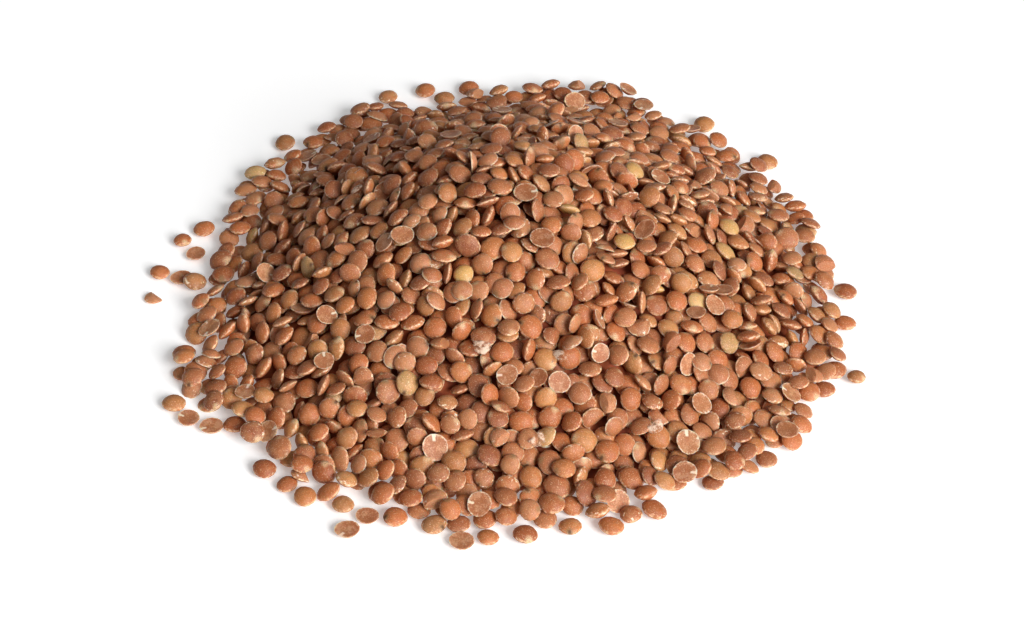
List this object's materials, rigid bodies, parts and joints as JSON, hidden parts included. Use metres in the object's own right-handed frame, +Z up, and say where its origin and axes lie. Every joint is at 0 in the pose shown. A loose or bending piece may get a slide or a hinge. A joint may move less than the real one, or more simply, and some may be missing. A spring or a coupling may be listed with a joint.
{
  "type": "heap of dry lentils",
  "caption": "Low, uneven heap of dry red lentils poured on a flat surface, with loose lentils lying round its edge.",
  "frame": {"origin": "on the surface that the heap lies on, under the middle of the whole seen from above", "axes": "+Z up, +Y away from the side the heap is looked at, +X to the right seen from that side"},
  "size_m": [0.1412, 0.1412, 0.0291],
  "materials": {
    "lentil_heap": "dry, slightly satin lentil skin, orange brown",
    "loose_lentils": "dry, slightly satin lentil skin, orange brown"
  },
  "bodies": {
    "root": {"lentil_heap": "lentil_heap", "loose_lentil_01": "loose_lentils", "loose_lentil_02": "loose_lentils", "loose_lentil_03": "loose_lentils", "loose_lentil_04": "loose_lentils", "loose_lentil_05": "loose_lentils", "loose_lentil_06": "loose_lentils", "loose_lentil_07": "loose_lentils", "loose_lentil_08": "loose_lentils", "loose_lentil_09": "loose_lentils", "loose_lentil_10": "loose_lentils", "loose_lentil_11": "loose_lentils", "loose_lentil_12": "loose_lentils", "loose_lentil_13": "loose_lentils", "loose_lentil_14": "loose_lentils", "loose_lentil_15": "loose_lentils", "loose_lentil_16": "loose_lentils", "loose_lentil_17": "loose_lentils", "loose_lentil_18": "loose_lentils", "loose_lentil_19": "loose_lentils", "loose_lentil_20": "loose_lentils", "loose_lentil_21": "loose_lentils", "loose_lentil_22": "loose_lentils", "loose_lentil_23": "loose_lentils", "loose_lentil_24": "loose_lentils", "loose_lentil_25": "loose_lentils", "loose_lentil_26": "loose_lentils", "loose_lentil_27": "loose_lentils", "loose_lentil_28": "loose_lentils", "loose_lentil_29": "loose_lentils", "loose_lentil_30": "loose_lentils", "loose_lentil_31": "loose_lentils", "loose_lentil_32": "loose_lentils", "loose_lentil_33": "loose_lentils"}
  },
  "joints": []
}
